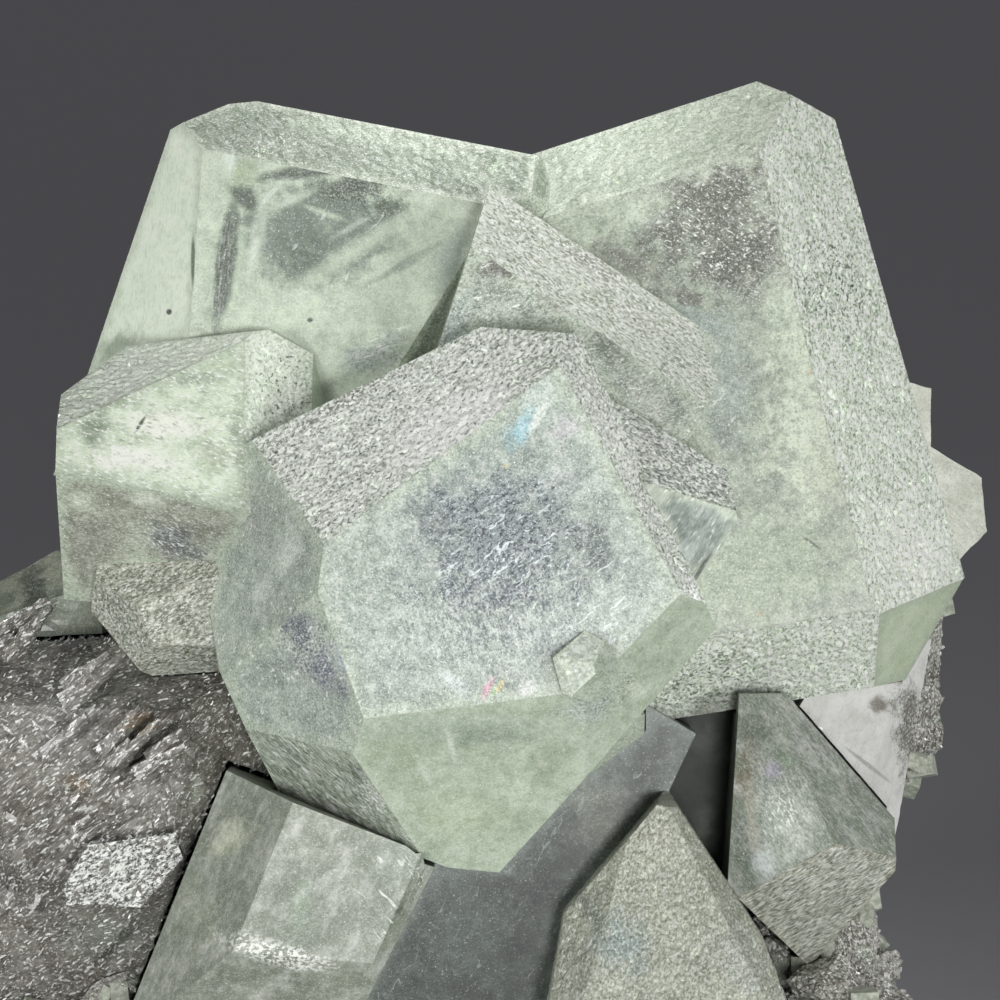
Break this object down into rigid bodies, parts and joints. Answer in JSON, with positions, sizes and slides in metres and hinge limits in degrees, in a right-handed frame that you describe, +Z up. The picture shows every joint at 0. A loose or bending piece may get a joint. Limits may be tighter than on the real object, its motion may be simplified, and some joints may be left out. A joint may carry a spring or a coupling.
{
  "type": "fluorite specimen",
  "caption": "Mineral specimen: intergrown translucent pale green cubic crystals with frosted bevelled edges on a pale rock matrix with a flat cut base.",
  "frame": {"origin": "centre of the specimen's bounding box at the flat cut base", "axes": "+Z up out of the base; +X to the right as the specimen is displayed, its longest extent; the display side faces -Y, and Y is the shortest extent"},
  "size_m": [0.0649, 0.0566, 0.0629],
  "materials": {
    "pale_green_fluorite": "clear to milky crystal, glassy cube faces, frosted bevels",
    "grey_green_fluorite": "translucent grey green crystal, partly sandy faces",
    "smoky_fluorite": "dark etched crystal with sparkling needles",
    "white_fluorite": "milky white crystal",
    "rock_matrix": "rough broken rock with a fine crystalline grain"
  },
  "bodies": {
    "root": {"upper_crystals": "pale_green_fluorite", "lower_crystals": "grey_green_fluorite", "dark_crystal": "smoky_fluorite", "back_left_crystals": "grey_green_fluorite", "pale_crystal": "white_fluorite", "white_crystals": "white_fluorite", "matrix": "rock_matrix"}
  },
  "joints": []
}
